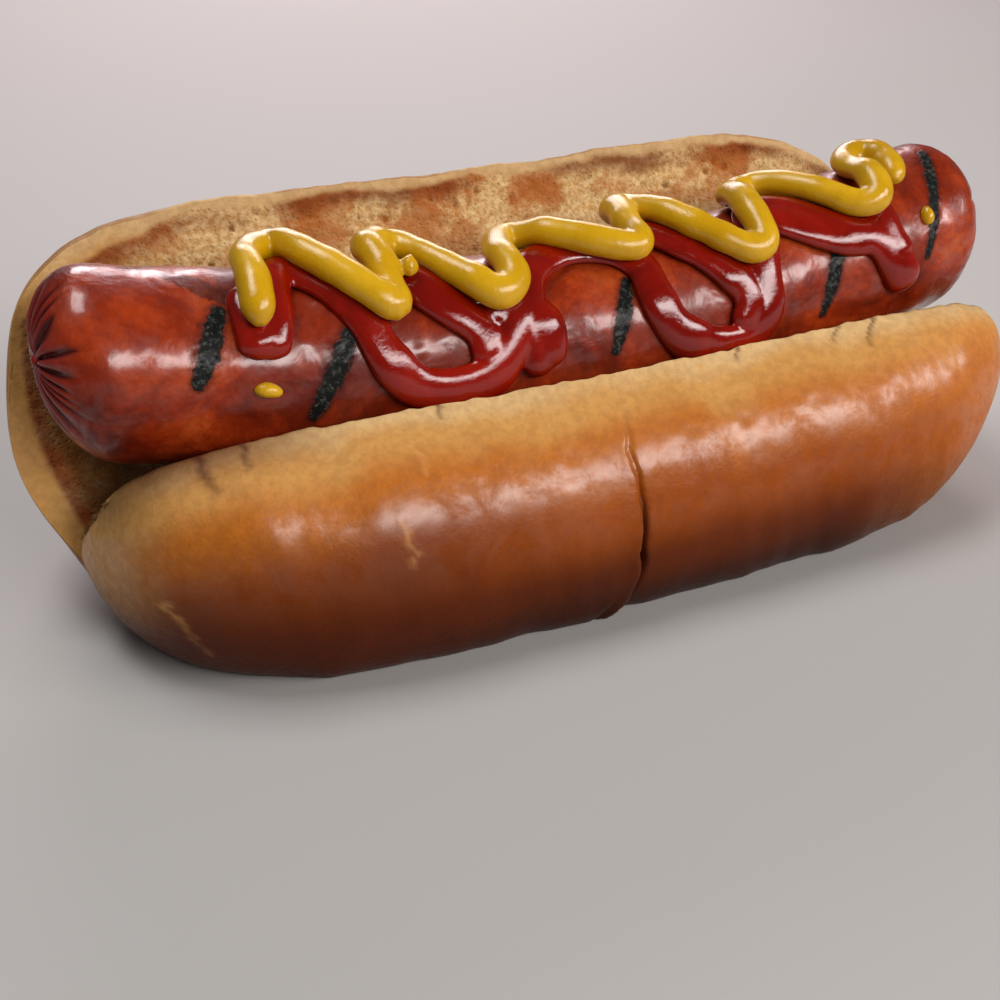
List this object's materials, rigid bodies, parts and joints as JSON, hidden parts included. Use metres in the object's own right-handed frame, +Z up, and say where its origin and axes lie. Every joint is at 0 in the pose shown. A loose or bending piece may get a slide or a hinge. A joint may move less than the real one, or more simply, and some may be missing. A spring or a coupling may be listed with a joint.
{
  "type": "hot dog",
  "caption": "Grilled sausage in a split golden-brown bun, with a zigzag of ketchup, a zigzag of mustard over it and a few stray drops of mustard.",
  "frame": {"origin": "middle of the footprint, on the table that the bun's flat spot rests on", "axes": "+X along the sausage, +Y from the bun's low front half to its tall back half, +Z up"},
  "size_m": [0.162, 0.0748, 0.0591],
  "materials": {
    "bun": "baked crust with a satin sheen, pale gold by the cut and dark brown underneath; porous toasted crumb on the cut faces",
    "sausage": "glossy grilled skin with charred stripes",
    "ketchup": "wet and glossy",
    "mustard": "smooth and glossy"
  },
  "bodies": {
    "root": {"bun": "bun", "sausage": "sausage", "ketchup": "ketchup", "mustard": "mustard", "mustard_drop_1": "mustard", "mustard_drop_2": "mustard"}
  },
  "joints": []
}
